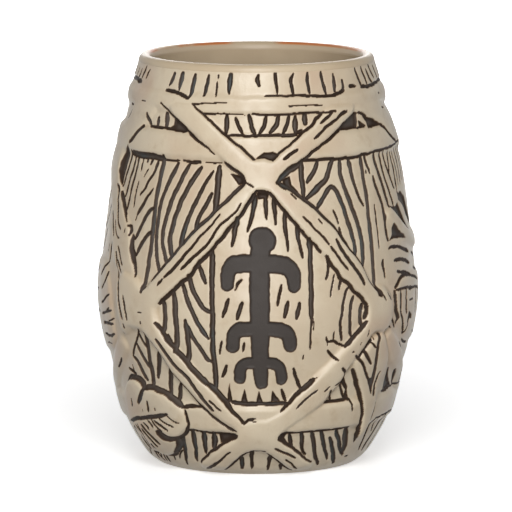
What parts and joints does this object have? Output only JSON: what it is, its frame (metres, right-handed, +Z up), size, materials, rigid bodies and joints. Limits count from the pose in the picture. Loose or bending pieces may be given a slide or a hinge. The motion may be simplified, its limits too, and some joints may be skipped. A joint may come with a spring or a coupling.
{
  "type": "tiki mug",
  "caption": "Barrel-shaped handleless stoneware tiki mug with a carved, lashed lattice, three applied hoops and a dark inlaid rock-carving figure.",
  "frame": {"origin": "centre of the foot ring's resting face", "axes": "+Z up along the mug's axis, through the mouth; -Y towards the front panel with the figure; +X to the viewer's right"},
  "size_m": [0.1, 0.0957, 0.125],
  "materials": {
    "stoneware_wall": "satin sand-coloured glaze over carved stoneware, with dark slate stain left in the carved lines",
    "liner_glaze": "glossy grey-beige clear glaze on the inside",
    "lip_glaze": "glossy, breaking to orange-brown on the thin edge",
    "hoop_glaze": "satin sand-coloured glaze",
    "lashing_glaze": "satin sand-coloured glaze with dark stained grooves",
    "motif_glaze": "satin sand-coloured glaze with dark stained grooves",
    "dark_slip_inlay": "matt dark slate slip"
  },
  "bodies": {
    "root": {"back_bottom_lashing": "lashing_glaze", "back_knot": "motif_glaze", "back_leaf": "motif_glaze", "back_left_node_lashing": "lashing_glaze", "back_right_node_lashing": "lashing_glaze", "back_top_lashing": "lashing_glaze", "back_turtle": "dark_slip_inlay", "base_hoop": "hoop_glaze", "front_bottom_lashing": "lashing_glaze", "front_figure": "dark_slip_inlay", "front_knot": "motif_glaze", "front_leaf": "motif_glaze", "front_left_node_lashing": "lashing_glaze", "front_right_node_lashing": "lashing_glaze", "front_top_lashing": "lashing_glaze", "left_boss": "motif_glaze", "left_bottom_lashing": "lashing_glaze", "left_top_lashing": "lashing_glaze", "liner_glaze": "liner_glaze", "lip_glaze": "lip_glaze", "right_boss": "motif_glaze", "right_bottom_lashing": "lashing_glaze", "right_top_lashing": "lashing_glaze", "shoulder_hoop": "hoop_glaze", "upper_hoop": "hoop_glaze", "vessel_body": "stoneware_wall"}
  },
  "joints": []
}
